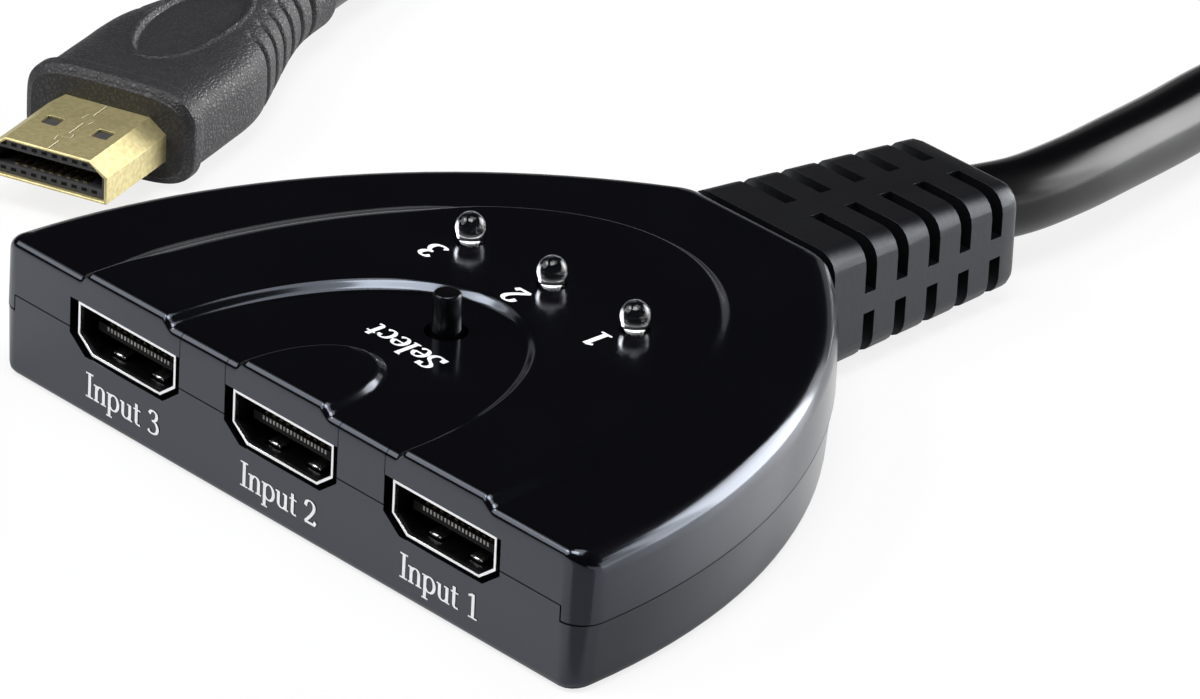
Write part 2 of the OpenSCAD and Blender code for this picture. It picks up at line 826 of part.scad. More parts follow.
module case_screws() {
    color([0.7, 0.7, 0.72])
    for (p = boss_at)
        translate([p.x, p.y, recess_z])
            difference() {
                union() {
                    translate([0, 0, -head_h])
                        cylinder(h = head_h, d = head_d);
                    cylinder(h = screw_l, d = screw_d);
                }
                for (a = [0, 90])
                    rotate(a)
                        translate([-1.2, -0.3, -head_h - 1])
                            cube([2.4, 0.6, 1.8]);
            }
}

// One row of slits round the four long edges, open down to the round core
module slit(y, cz) {
    translate([0, 0, cz])
        along_y(y - slit_w / 2, y + slit_w / 2)
            difference() {
                union()
                    for (sx = [-1, 1], sz = [-1, 1])
                        translate([sx > 0 ? web_top / 2 : -relief_w, sz > 0 ? web_side / 2 : -relief_h])
                            square([relief_w - web_top / 2, relief_h - web_side / 2]);
                circle(d = core_d);
            }
}

module strain_relief() {
    fillet_y = relief_y - relief_fillet;
    function part_at(y) = (y - rear_y) / relief_l;
    function level(y) = mix(relief_z, relief_end_z, part_at(y));
    function ring_at(y, inset) = rounded_ring(
        y,
        level(y),
        mix(relief_w, relief_end_w, part_at(y)) - 2 * inset,
        mix(relief_h, relief_end_h, part_at(y)) - 2 * inset,
        relief_r - inset
    );
    color([0.04, 0.04, 0.045])
    union() {
        difference() {
            skin([
                ring_at(relief_y, relief_fillet),
                ring_at(relief_y - relief_fillet * 0.3, relief_fillet * 0.3),
                ring_at(fillet_y, 0),
                ring_at(rear_y, 0)
            ]);
            for (k = [0:slit_n - 1])
                let (y = rear_y + slit_start + k * slit_pitch)
                slit(y, level(y));
        }
        translate([-neck_w / 2, collar_y - collar_t, relief_z - neck_h / 2])
            cube([neck_w, rear_y - collar_y + collar_t + 1, neck_h]);
        collar(0);
    }
}

// Five wires from the lead's end to pads along the rear of the board
module lead_wires() {
    z1 = board_top + wire_d / 2;
    y0 = collar_y - collar_t;
    y1 = board_rear_y - 1;
    color([0.85, 0.85, 0.85])
    for (k = [-2:2])
        skin(tube_rings(
            [
                for (t = [0:0.125:1])
                    [mix(2.1 * k, 3.4 * k, smooth(t)), mix(y0, y1, t), mix(relief_z, z1, smooth(t))]
            ],
            [0, -1, 0], [0, -1, 0], wire_d, 6
        ));
}

module pigtail_cord() {
    color([0.03, 0.03, 0.03])
    skin(tube_rings(cord_route, [0, 1, 0], -plug_back, cord_d, cord_sides));
}

module at_plug() {
    translate(plug_mouth)
        rotate(plug_turn)
            children();
}

// Section of the plug shell with its narrow side up, centred on the plug's axis
module plug_section(g) {
    translate([0, plug_hh / 2])
        mirror([0, 1])
            polygon(port_outline(plug_w, plug_base_w, port_kink, plug_hh, g));
}

module plug_shell() {
    hole_w = 1.9;
    color([0.8, 0.62, 0.25])
    at_plug()
        difference() {
            along_y(0, plug_bare + plug_held)
                difference() {
                    plug_section(0);
                    plug_section(-port_t);
                }
            for (x = [-2.95, 2.95])
                translate([x - hole_w / 2, plug_bare / 2 - hole_w / 2, -plug_hh])
                    cube([hole_w, hole_w, 2 * plug_hh]);
        }
}

module plug_insulator() {
    color([0.04, 0.04, 0.04])
    at_plug()
        difference() {
            along_y(0.5, plug_bare + plug_held - 1)
                plug_section(-port_t - fit_gap);
            translate([-tongue_w / 2 - 0.2, 0, -slot_h / 2])
                cube([tongue_w + 0.4, 8.5, slot_h]);
        }
}

module plug_contacts() {
    color([0.8, 0.65, 0.3])
    at_plug()
        contact_rows_on(-slot_h / 2 + contact_t, slot_h / 2 - contact_t, 0.9, 8.5);
}

// Section of the hood at y behind its front: a squarish oval that turns round towards the lead,
// with grooves that bite only into its sides
function hood_ring(y, inset) =
    let (
        t = smooth((y - 9) / (hood_l - 12)),
        w = mix(hood_w, hood_end_w, t) / 2 - inset,
        h = mix(hood_h, hood_end_w, smooth((y - 20) / (hood_l - 22))) / 2 - inset,
        n = mix(4, 2, smooth((y - 6) / (hood_l - 12))),
        pitch = (rib_end - rib_start) / groove_n,
        wave = (y - rib_start) / pitch,
        cut = y > rib_start && y < rib_end && wave - floor(wave) > 0.62 ? groove_t : 0
    )
    [
        for (k = [0:hood_sides - 1])
            let (
                a = 360 * k / hood_sides,
                c = cos(a),
                s = sin(a),
                g = cut * smooth((abs(c) - 0.55) / 0.25)
            )
            [
                sign(c) * (w - g) * pow(abs(c), 2 / n),
                plug_bare + y,
                sign(s) * (h - g * 0.5) * pow(abs(s), 2 / n)
            ]
    ];

module plug_hood() {
    pitch = (rib_end - rib_start) / groove_n;
    stations = concat(
        [[0, 0.9], [0.35, 0.3], [1, 0], [2.2, 0], [2.7, 0.25], [3.4, 0.45], [9, 0.4], [rib_start, 0.2]],
        [
            for (k = [0:groove_n - 1], u = [0.08, 0.6, 0.66, 0.96])
                [rib_start + (k + u) * pitch, 0]
        ],
        [[rib_end + 0.2, 0], [hood_l - 0.6, 0], [hood_l, 0.5]]
    );
    color([0.09, 0.09, 0.1])
    at_plug()
        difference() {
            skin([for (i = [len(stations) - 1:-1:0]) hood_ring(stations[i][0], stations[i][1])]);
            along_y(plug_bare - 1, plug_bare + plug_held + fit_gap)
                plug_section(fit_gap);
            translate([0, plug_bare + 17, hood_h / 2 - 0.75])
                linear_extrude(hood_h)
                    polygon([for (a = [0:12:348]) [4.2 * cos(a), 9.5 * sin(a)]]);
        }
}

upper_shell();
lower_shell();
main_board();
port_shell(1);  // port_shell_1
port_shell(2);  // port_shell_2
port_shell(3);  // port_shell_3
port_insulator(1);  // port_insulator_1
port_insulator(2);  // port_insulator_2
port_insulator(3);  // port_insulator_3
port_contacts(1);  // port_contacts_1
port_contacts(2);  // port_contacts_2
port_contacts(3);  // port_contacts_3
switch_chip();
switch_chip_leads();
memory_chips();
board_passives();
led_lens(1);  // led_lens_1
led_lens(2);  // led_lens_2
led_lens(3);  // led_lens_3
led_leads();
tact_base();
tact_cover();
tact_pins();
snap_dome();
select_button();
case_screws();
strain_relief();
lead_wires();
pigtail_cord();
plug_shell();
plug_insulator();
plug_contacts();
plug_hood();
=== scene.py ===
"""Looks of the three-input video switch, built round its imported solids. Metres, Z up, ports towards -Y."""

import math

import bpy
import numpy as np
from mathutils import Matrix, Vector


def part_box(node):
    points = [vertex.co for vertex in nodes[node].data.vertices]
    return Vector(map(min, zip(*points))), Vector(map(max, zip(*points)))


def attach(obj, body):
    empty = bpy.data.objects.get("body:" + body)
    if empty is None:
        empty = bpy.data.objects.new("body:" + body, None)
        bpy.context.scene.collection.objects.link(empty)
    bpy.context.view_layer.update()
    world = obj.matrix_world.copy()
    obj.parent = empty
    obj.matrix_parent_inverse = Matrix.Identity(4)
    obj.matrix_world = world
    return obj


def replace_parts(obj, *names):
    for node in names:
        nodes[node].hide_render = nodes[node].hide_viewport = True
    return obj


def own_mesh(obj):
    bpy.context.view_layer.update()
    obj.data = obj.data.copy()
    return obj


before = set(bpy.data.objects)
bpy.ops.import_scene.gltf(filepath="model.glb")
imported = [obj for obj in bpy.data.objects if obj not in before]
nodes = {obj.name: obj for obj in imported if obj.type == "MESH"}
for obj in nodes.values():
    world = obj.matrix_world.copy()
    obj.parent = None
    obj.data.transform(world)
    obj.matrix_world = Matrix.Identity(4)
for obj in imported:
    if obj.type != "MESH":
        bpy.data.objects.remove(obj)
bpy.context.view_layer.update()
scene = bpy.context.scene
MM = 0.001

# Sizes of the solids that the pieces and finishes follow (millimetres)
FRONT_Y, CASE_HALF, CASE_DEPTH = -31.1, 42.4, 62.2
SEAM_Z, FRONT_SEAM_Z, TAB_X = 7.1, 8.75, 39.7
BAND_TOP, LOW_BAND_TOP = 15.5, 14.6
PORT_PITCH, PORT_RIM_Y = 23.1, -30.8
PORT_X = (PORT_PITCH, 0.0, -PORT_PITCH)
SPRING_X, SPRING_HALF, SPRING_FOOT, SPRING_HEAD = 2.9, 0.86, 6.97, 7.6


# Camera: azimuth from the front, elevation and roll in degrees, with the lens of a 36 mm sensor

def make_camera(azimuth, elevation, roll, lens, place):
    """The view axis points down from azimuth and elevation, and roll turns the picture about it."""
    a, e, r = (math.radians(v) for v in (azimuth, elevation, roll))
    forward = Vector((-math.sin(a) * math.cos(e), math.cos(a) * math.cos(e), -math.sin(e)))
    level = forward.cross(Vector((0, 0, 1))).normalized()
    down = forward.cross(level)
    right = math.cos(r) * level + math.sin(r) * down
    below = math.cos(r) * down - math.sin(r) * level
    data = bpy.data.cameras.new("view")
    data.lens = lens
    data.sensor_width = 36
    data.sensor_fit = "HORIZONTAL"
    data.clip_start = 0.01
    data.clip_end = 20
    camera = bpy.data.objects.new("view", data)
    turn = Matrix((right, -below, -forward)).transposed()
    camera.matrix_world = Matrix.Translation(Vector(place) * MM) @ turn.to_4x4()
    scene.collection.objects.link(camera)
    scene.camera = camera


make_camera(
    azimuth=46.5910378, elevation=26.9588324, roll=-2.84442167, lens=290.4608, place=(609.30, -566.52, 432.90)
)
scene.view_settings.view_transform = "Standard"


# Surfaces: each is a grid of points, one row per step of the first parameter

def grid_faces(rows, cols, wrap):
    """Quads of a rows x cols grid; with wrap the last column joins the first."""
    i = np.arange(rows - 1)[:, None]
    j = np.arange(cols if wrap else cols - 1)[None, :]
    k = (j + 1) % cols
    return np.stack([i * cols + j, i * cols + k, (i + 1) * cols + k, (i + 1) * cols + j], -1).reshape(-1, 4)


def merged(points, faces):
    """Points nearer than a tenth of a micron become one, and faces that lose an edge are dropped."""
    keys = np.round(points / 1e-7).astype(np.int64)
    _, first, index = np.unique(keys, axis=0, return_index=True, return_inverse=True)
    faces = index.reshape(-1)[faces]
    after = np.roll(faces, -1, axis=1)
    kept = faces != after
    whole = faces[kept.all(1)].tolist()
    three = kept.sum(1) == 3
    if faces.shape[1] == 4:
        whole += faces[three][kept[three]].reshape(-1, 3).tolist()
    return points[first], whole


def make_piece(name, points, faces, body, slot, finish, smooth=True, sharp=40):
    """A mesh object at the origin, in metres, that rides on a body; edges over `sharp` degrees stay crisp."""
    mesh = bpy.data.meshes.new(name)
    mesh.from_pydata(points.tolist(), [], faces)
    mesh.validate()
    if smooth:
        mesh.shade_smooth()
        mesh.set_sharp_from_angle(angle=math.radians(sharp))
    mesh.materials.append(finish)
    piece = bpy.data.objects.new(name, mesh)
    scene.collection.objects.link(piece)
    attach(piece, body)
    return piece


def make_surface(name, points, body, slot, finish, wrap=True, sharp=40, flip=False):
    """A piece from a (rows, cols, 3) grid in millimetres; rows drawn to one point close its ends."""
    rows, cols = points.shape[:2]
    faces = grid_faces(rows, cols, wrap)
    if flip:
        faces = faces[:, ::-1]
    return make_piece(name, *merged(points.reshape(-1, 3) * MM, faces), body, slot, finish, sharp=sharp)


def lathe(profile, centre, steps=48):
    """Profile of (radius, height) turned about an upright axis through centre: (r cos a, r sin a, h)."""
    profile = np.asarray(profile, float)
    a = np.linspace(0, 2 * np.pi, steps, endpoint=False)
    r, h = profile[:, 0, None], profile[:, 1, None]
    return np.stack([r * np.cos(a), r * np.sin(a), h + 0 * a], -1) + np.asarray(centre, float)


def arc(cx, cy, rx, ry, start, end, count):
    """Points of an ellipse's arc between two angles in degrees."""
    a = np.radians(np.linspace(start, end, count))
    return np.stack([cx + rx * np.cos(a), cy + ry * np.sin(a)], -1)


def through(points, per_span):
    """Catmull-Rom curve through points. On the span from b to c, between neighbours a and d, a point is
    half of 2b + (c - a) t + (2a - 5b + 4c - d) t^2 + (3b - a - 3c + d) t^3."""
    p = np.asarray(points, float)
    p = np.concatenate([2 * p[:1] - p[1:2], p, 2 * p[-1:] - p[-2:-1]])
    a, b, c, d = (p[k:len(p) - 3 + k, None] for k in range(4))
    t = np.linspace(0, 1, per_span, endpoint=False)[None, :, None]
    spans = 0.5 * (2 * b + (c - a) * t + (2 * a - 5 * b + 4 * c - d) * t**2 + (3 * b - a - 3 * c + d) * t**3)
    return np.concatenate([spans.reshape(-1, p.shape[1]), p[-2:-1]])


def unit(v):
    """Vectors divided by their lengths."""
    return v / np.linalg.norm(v, axis=-1, keepdims=True)


def smooth_step(t):
    """3 t^2 - 2 t^3, with t held between 0 and 1."""
    t = np.clip(t, 0, 1)
    return t * t * (3 - 2 * t)


def tube(path, radius, sides):
    """Circle carried square to a path that stays near level: p + r (across cos a + up sin a)."""
    along = unit(np.gradient(path, axis=0))
    across = unit(np.cross(along, [0, 0, 1.0]))
    up = np.cross(across, along)
    a = np.linspace(0, 2 * np.pi, sides, endpoint=False)[None, :, None]
    return path[:, None] + radius * (np.cos(a) * across[:, None] + np.sin(a) * up[:, None])


def eased_copy(node, name, finish, slot, sharp=62, bevel=0.0, reshape=None):
    """A merged copy of a CAD node that stands for it, shaded smooth across all but its sharp edges."""
    source = nodes[node].data
    points = np.empty(len(source.vertices) * 3)
    source.vertices.foreach_get("co", points)
    corners = np.empty(len(source.loops), np.int64)
    source.loops.foreach_get("vertex_index", corners)
    points, faces = merged(points.reshape(-1, 3), corners.reshape(-1, 3))
    if reshape:
        points = reshape(points / MM) * MM
    piece = make_piece(name, points, faces, "case", slot, finish, sharp=sharp)
    if bevel:
        edge = piece.modifiers.new("rounded edges", "BEVEL")
        edge.width = bevel * MM
        edge.segments = 2
        edge.limit_method = "ANGLE"
        edge.angle_limit = math.radians(40)
        edge.use_clamp_overlap = True
    even = piece.modifiers.new("even shading", "WEIGHTED_NORMAL")
    even.keep_sharp = True
    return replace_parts(piece, node)


# Shader maths: a Value is a socket that takes part in Python arithmetic

class Value:
    """A number on a surface. Each operator adds one Math node."""

    def __init__(self, finish, socket):
        self.finish, self.socket = finish, socket

    def math(self, operation, *others):
        return self.finish.node("Math", {"operation": operation}, dict(enumerate((self, *others))))

    def __add__(self, other):
        return self.math("ADD", other)

    __radd__ = __add__

    def __sub__(self, other):
        return self.math("SUBTRACT", other)

    def __rsub__(self, other):
        return self.finish.node("Math", {"operation": "SUBTRACT"}, {0: other, 1: self})

    def __mul__(self, other):
        return self.math("MULTIPLY", other)

    __rmul__ = __mul__

    def __abs__(self):
        return self.math("ABSOLUTE")

    def most(self, other):
        return self.math("MAXIMUM", other)

    def step(self, low, high):
        """0 at low and 1 at high, eased; low may be the greater."""
        return self.finish.node(
            "MapRange", {"interpolation_type": "SMOOTHSTEP"}, {0: self, 1: low, 2: high, 3: 0.0, 4: 1.0}
        )


class Finish:
    """A material with one Principled shader. Constants are set on its sockets, varying values are linked."""

    def __init__(self, name, **constants):
        self.material = bpy.data.materials.new(name)
        self.material.use_nodes = True
        self.tree = self.material.node_tree
        self.shader = self.tree.nodes["Principled BSDF"]
        self.set(**constants)

    def feed(self, socket, value):
        """Links a Value to a socket, or sets a plain number or colour on it."""
        if isinstance(value, Value):
            self.tree.links.new(value.socket, socket)
        else:
            socket.default_value = (*value, 1) if socket.type == "RGBA" else value

    def node(self, kind, settings={}, sockets={}, out=0):
        """Any shader node: its settings come first, then the values or links of its sockets."""
        made = self.tree.nodes.new("ShaderNode" + kind)
        for key, value in settings.items():
            setattr(made, key, value)
        for key, value in sockets.items():
            self.feed(made.inputs[key], value)
        return Value(self, made.outputs[out])

    def place(self):
        """Object coordinates in metres."""
        return self.node("TexCoord", out="Object")

    def parts(self, point):
        """The x, y and z of a point."""
        return [self.node("SeparateXYZ", sockets={0: point}, out=k) for k in range(3)]

    def noise(self, point, scale, detail=2.0, stretch=(1, 1, 1)):
        """Cloudy noise from 0 to 1, drawn out along an axis whose stretch is small."""
        if stretch != (1, 1, 1):
            point = self.node("Mapping", sockets={"Vector": point, "Scale": stretch})
        return self.node("TexNoise", sockets={"Vector": point, "Scale": scale, "Detail": detail})

    def mix(self, factor, low, high):
        """Colour from low to high by factor."""
        return self.node("Mix", {"data_type": "RGBA"}, {0: factor, 6: low, 7: high}, out=2)

    def set(self, **values):
        """Feeds the Principled shader's sockets, named with underscores for spaces."""
        for key, value in values.items():
            self.feed(self.shader.inputs[key.replace("_", " ")], value)
        return self

    def bump(self, height, strength, distance):
        """Relief from a height, at most distance metres deep."""
        sockets = {"Height": height, "Strength": strength, "Distance": distance}
        return self.set(Normal=self.node("Bump", sockets=sockets))

    def cover(self, factor, upper):
        """Lays another shader over the first where factor is 1, and gives the material."""
        lower = Value(self, self.shader.outputs[0])
        both = self.node("MixShader", sockets={0: factor, 1: lower, 2: upper})
        self.feed(self.tree.nodes["Material Output"].inputs["Surface"], both)
        return self.material


# Dark lines in the case's finish (millimetres): half widths, their soft edge, and the witness lines over the ports
SEAM_HALF, FRONT_SEAM_HALF, WITNESS_HALF, LINE_EDGE = 0.09, 0.05, 0.03, 0.05
WITNESS_X, WITNESS_FOOT = (-14.9, -8.2, 8.2, 14.9), 11.8


def gloss_case(name):
    """Polished black moulding: faint polish swirls, a trace of orange peel, dark seam and witness lines."""
    f = Finish(name, Specular_IOR_Level=0.84, Specular_Tint=(0.77, 0.85, 1.0))
    point = f.place()
    x, y, z = f.parts(point)

    def line(distance, half):
        """1 within half of a line, and 0 beyond its soft edge."""
        return abs(distance).step((half + LINE_EDGE) * MM, half * MM)

    beside_tab = abs(x).step((TAB_X - 0.1) * MM, TAB_X * MM)
    on_front = y.step((FRONT_Y + 0.5) * MM, (FRONT_Y + 0.3) * MM)
    near_front = y.step((FRONT_Y + 0.9) * MM, (FRONT_Y + 0.6) * MM)
    above_seam = z.step(SEAM_Z * MM, (SEAM_Z + 0.1) * MM)
    below_front_seam = z.step((FRONT_SEAM_Z + 0.1) * MM, FRONT_SEAM_Z * MM)
    above_ports = z.step(WITNESS_FOOT * MM, (WITNESS_FOOT + 0.1) * MM)
    lines = line(z - SEAM_Z * MM, SEAM_HALF) * (1 - on_front).most(beside_tab)
    lines = lines.most(line(z - FRONT_SEAM_Z * MM, FRONT_SEAM_HALF) * on_front * (1 - beside_tab))
    tab_side = line(abs(x) - TAB_X * MM, FRONT_SEAM_HALF) * on_front
    lines = lines.most(tab_side * above_seam * below_front_seam)
    for at in WITNESS_X:
        lines = lines.most(line(x - at * MM, WITNESS_HALF) * near_front * above_ports)
    swirl = f.noise(point, 70, 3)
    hair = f.noise(point, 500, 2, (1, 0.12, 1))
    f.set(
        Base_Color=f.mix(swirl, (0.0011, 0.0011, 0.0017), (0.0021, 0.0021, 0.0029)),
        Roughness=0.11 + 0.035 * swirl + 0.02 * hair,
    )
    f.bump(f.noise(point, 420, 1) * 0.5, 0.2, 0.00003)
    gap = {"Base Color": (0.0006, 0.0006, 0.0007), "Roughness": 0.9, "Specular IOR Level": 0.0}
    return f.cover(lines * 0.9, f.node("BsdfPrincipled", sockets=gap))


def satin_black(name, colour, rough, grain, depth, shine):
    """Soft black plastic with a fine spark-eroded grain."""
    f = Finish(name, Specular_IOR_Level=shine, Specular_Tint=(0.85, 0.9, 1.0))
    point = f.place()
    cloud = f.noise(point, 120, 3)
    fine = f.noise(point, grain, 2)
    low, high = tuple(0.8 * c for c in colour), tuple(1.25 * c for c in colour)
    f.set(Base_Color=f.mix(cloud, low, high), Roughness=rough - 0.06 + 0.12 * cloud)
    return f.bump(fine, 0.35, depth).material


def leather_grain(name):
    """Dark grey moulding with a leather grain: warped cells with soft borders under a finer noise."""
    f = Finish(name)
    point = f.place()
    warp = f.noise(point, 900, 2)
    drift = f.node("TexNoise", sockets={"Vector": point, "Scale": 700.0, "Detail": 1.0}, out="Color")
    shift = (0.0009, 0.0009, 0.0009)
    moved = f.node("VectorMath", {"operation": "MULTIPLY_ADD"}, {0: drift, 1: shift, 2: point})
    cells = f.node("TexVoronoi", {"feature": "DISTANCE_TO_EDGE"}, {"Vector": moved, "Scale": 1900.0})
    ridge = cells.step(0.0, 0.35)
    f.set(
        Base_Color=f.mix(ridge * 0.6 + warp * 0.4, (0.0068, 0.0068, 0.008), (0.028, 0.0275, 0.032)),
        Roughness=0.58 - 0.16 * ridge,
    )
    return f.bump(ridge + 0.6 * warp, 0.6, 0.00007).material


ROLLED = (1, 0.06, 1)


def sheet_metal(name, colour, dull, rough):
    """Plated sheet metal: rolling streaks along Y, and soft cloudy tarnish."""
    f = Finish(name, Metallic=1.0)
    point = f.place()
    rolled = f.noise(point, 2600, 3, ROLLED)
    cloud = f.noise(point, 1700, 5)
    f.set(
        Base_Color=f.mix(cloud.step(0.3, 0.7), colour, dull),
        Roughness=rough - 0.07 + 0.1 * rolled + 0.08 * cloud,
    )
    return f.bump(rolled, 0.12, 0.00002).material


def port_steel(name):
    """Tinned sheet, bright at the cut rim and on the springs, darkened inside the opening by painted shade."""
    f = Finish(name, Metallic=1.0)
    point = f.place()
    x, y, z = f.parts(point)
    rolled = f.noise(point, 2600, 3, ROLLED)
    # Painted shade: from just behind the rim the sheet turns dark into the opening, and rougher, with a faint
    # mottle.
    painted_shade = (y - PORT_RIM_Y * MM).step(0.00005, 0.0006) * (0.9 + 0.1 * f.noise(point, 900, 3))
    # Where the springs stand, most of the painted shade is taken off, so they stay bright.
    nearest = (x * (1 / PORT_PITCH / MM)).math("ROUND") * (PORT_PITCH * MM)
    spring = abs(abs(x - nearest) - SPRING_X * MM).step((SPRING_HALF + 0.04) * MM, SPRING_HALF * MM)
    spring = spring * z.step((SPRING_FOOT - 0.04) * MM, SPRING_FOOT * MM)
    spring = spring * z.step((SPRING_HEAD + 0.1) * MM, SPRING_HEAD * MM)
    painted_shade = painted_shade * (1 - 0.85 * spring)
    # The near black tone is the painted shade inside the opening.
    f.set(
        Base_Color=f.mix(painted_shade, (0.90, 0.90, 0.91), (0.035, 0.035, 0.037)),
        Roughness=0.16 + 0.1 * rolled + 0.12 * painted_shade,
    )
    return f.bump(rolled, 0.1, 0.00002).material


def clear_lamp(name):
    """Clear cast resin, with a trace of flow in its polish."""
    f = Finish(name, Transmission_Weight=1.0, IOR=1.5, Base_Color=(0.97, 0.98, 0.98))
    return f.set(Roughness=0.02 + 0.03 * f.noise(f.place(), 500, 2)).material


def board_green(name):
    """Solder mask over copper: darker between tracks."""
    f = Finish(name)
    point = f.place()
    brick = {"Vector": point, "Scale": 220.0, "Mortar Size": 0.03}
    tracks = f.node("TexBrick", {"offset": 0.5}, brick, out=1)
    f.set(
        Base_Color=f.mix(tracks, (0.0012, 0.006, 0.003), (0.002, 0.012, 0.005)),
        Roughness=0.3 + 0.15 * f.noise(point, 300),
    )
    return f.material


def mottled(name, low, high, rough, shine=0.5):
    """Small moulded or fired part: two close tones in a fine mottle."""
    f = Finish(name, Specular_IOR_Level=shine)
    cloud = f.noise(f.place(), 700, 3)
    f.set(Base_Color=f.mix(cloud, low, high), Roughness=rough + 0.12 * cloud)
    return f.bump(cloud, 0.15, 0.00003).material


def cord_jacket(name):
    """Extruded PVC: fine lines along the lead from its UV map, and a soft bloom."""
    f = Finish(name, Specular_IOR_Level=0.3)
    along = f.node("UVMap", {"uv_map": "jacket"})
    lines = f.noise(along, 60, 2, (1, 0.02, 1))
    bloom = f.noise(f.place(), 160, 3)
    f.set(
        Base_Color=f.mix(bloom, (0.0008, 0.0008, 0.0011), (0.0018, 0.0018, 0.0023)),
        Roughness=0.17 + 0.04 * bloom + 0.04 * lines,
    )
    return f.bump(lines, 0.15, 0.00003).material


def printed_white(name):
    """Pad-printed white ink, thinner in places."""
    f = Finish(name)
    thin = f.noise(f.place(), 1800, 3)
    f.set(
        Base_Color=f.mix(thin.step(0.25, 0.7), (0.84, 0.85, 0.87), (0.93, 0.94, 0.95)),
        Roughness=0.45 + 0.15 * thin,
    )
    return f.material


case_finish = gloss_case("case_gloss")
relief_finish = satin_black("relief_satin", (0.0042, 0.0042, 0.0052), 0.35, 1500, 0.00004, 0.46)
button_finish = satin_black("button_satin", (0.002, 0.002, 0.0024), 0.2, 2500, 0.00002, 0.3)
hood_finish = leather_grain("hood_grain")
steel = port_steel("port_steel")
gold = sheet_metal("plug_gold", (0.74, 0.665, 0.37), (0.61, 0.53, 0.28), 0.54)
# A pale strip that is not metal: a painted highlight along the seam on top of the plug's shell.
seam_painted_highlight = mottled("seam_painted_highlight", (0.58, 0.52, 0.34), (0.72, 0.65, 0.44), 0.5)
contact = sheet_metal("contact_gold", (0.86, 0.72, 0.40), (0.66, 0.52, 0.26), 0.26)
tip_metal = sheet_metal("tip_metal", (0.42, 0.41, 0.39), (0.22, 0.21, 0.20), 0.42)
spring_steel = sheet_metal("spring_steel", (0.92, 0.92, 0.93), (0.80, 0.80, 0.82), 0.24)
tin = sheet_metal("tinned", (0.72, 0.72, 0.73), (0.52, 0.52, 0.54), 0.32)
insulator = mottled("insulator_black", (0.002, 0.002, 0.0024), (0.004, 0.004, 0.0046), 0.55, shine=0.12)
insert_grey = mottled("insert_grey", (0.030, 0.030, 0.033), (0.048, 0.048, 0.052), 0.5)
chip = mottled("chip_black", (0.012, 0.012, 0.013), (0.022, 0.022, 0.024), 0.55)
passive = mottled("passive_tan", (0.22, 0.14, 0.07), (0.34, 0.23, 0.12), 0.4)
wire = mottled("wire_white", (0.55, 0.55, 0.55), (0.72, 0.72, 0.72), 0.38)
lamp = clear_lamp("lamp_clear")
reflector = mottled("reflector_silver", (0.74, 0.74, 0.75), (0.86, 0.86, 0.87), 0.3)
board = board_green("board_green")
jacket = cord_jacket("cord_jacket")
ink = printed_white("printed_white")


# Lead: out of the strain relief, down to the table, one turn back and up to the plug (millimetres)
LEAD_ROUTE = [
    (0, 58.7, 7.3), (0.7, 66, 6.7), (0, 74, 6.3), (-1.6, 82, 5.8), (-3.7, 91, 5.1), (-6, 101, 4.6),
    (-7.7, 113, 4.2), (-8.4, 127, 4.1), (-8.5, 142, 4.1), (-8, 158, 4.1), (-8, 174, 4.1), (-8, 190, 4.1),
    (-10.5, 203.5, 4.1), (-17.5, 215.5, 4.1), (-28, 224.5, 4.1), (-41, 229.5, 4.1),
    (-55, 229.5, 4.1), (-68, 224.5, 4.1), (-78.5, 215.5, 4.1), (-85.5, 203.5, 4.1),
    (-88, 190, 4.1), (-88.5, 175, 4.1), (-89, 159, 4.1), (-89.5, 143, 4.1), (-90, 127, 4.1),
    (-90.5, 111, 4.1), (-90.5, 96, 4.1), (-90.5, 82, 4.1), (-90, 70, 4.2), (-88, 59, 4.7),
    (-85.2, 49.6, 5.2), (-82.5, 42.2, 5.4),
]
LEAD_D = 8.0


def make_lead():
    """The jacket is a tube on the route, closed at both ends, with u round it and v along it."""
    path = through(LEAD_ROUTE, 8)
    rings = tube(path, LEAD_D / 2, 40)
    points = np.concatenate([0 * rings[:1] + path[0], rings, 0 * rings[:1] + path[-1]])
    piece = make_surface("lead_jacket", points, "case", "lead_black", jacket, flip=True)
    mesh = piece.data
    places = np.empty(len(mesh.vertices) * 3)
    mesh.vertices.foreach_get("co", places)
    corner = np.empty(len(mesh.loops), np.int64)
    mesh.loops.foreach_get("vertex_index", corner)
    co = places.reshape(-1, 3)[corner] / MM
    near = np.argmin(((co[:, None] - path[None]) ** 2).sum(-1), 1)
    run = np.concatenate([[0], np.cumsum(np.linalg.norm(np.diff(path, axis=0), axis=1))])
    side = np.arctan2(co[:, 2] - path[near, 2], np.linalg.norm(co[:, :2] - path[near, :2], axis=1))
    layer = mesh.uv_layers.new(name="jacket")
    layer.data.foreach_set("uv", np.stack([side / np.pi, run[near] / 100], -1).astype(np.float32).ravel())
    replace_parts(piece, "pigtail_cord")
    return piece, path * MM, run[-1] * MM


lead, lead_path, lead_length = make_lead()


# Plug at the lead's far end: local x across, y back from its mouth, z up (millimetres)
PLUG_TURN = math.radians(20)
SHELL_BARE, SHELL_TOP = 12.0, 2.225
HOOD_LENGTH, HOOD_WIDTH, HOOD_HEIGHT, HOOD_TAIL_D = 40.0, 19.8, 10.8, 9.4
RIBS, RIBS_START, RIBS_STOP, RIB_DEPTH = 6, 15.5, 35.0, 0.6
PANEL_WIDE, PANEL_LONG, PANEL_Y, PANEL_SUNK, PANEL_RIM = 4.2, 9.5, 17, 0.45, 0.2


def at_plug(points):
    """Local plug millimetres turned by its angle and moved so that its tail meets the lead."""
    c, s = math.cos(PLUG_TURN), math.sin(PLUG_TURN)
    mouth = np.array(LEAD_ROUTE[-1]) - (SHELL_BARE + HOOD_LENGTH) * np.array([-s, c, 0])
    x, y, z = np.moveaxis(np.asarray(points, float), -1, 0)
    return np.stack([c * x - s * y, s * x + c * y, z], -1) + mouth


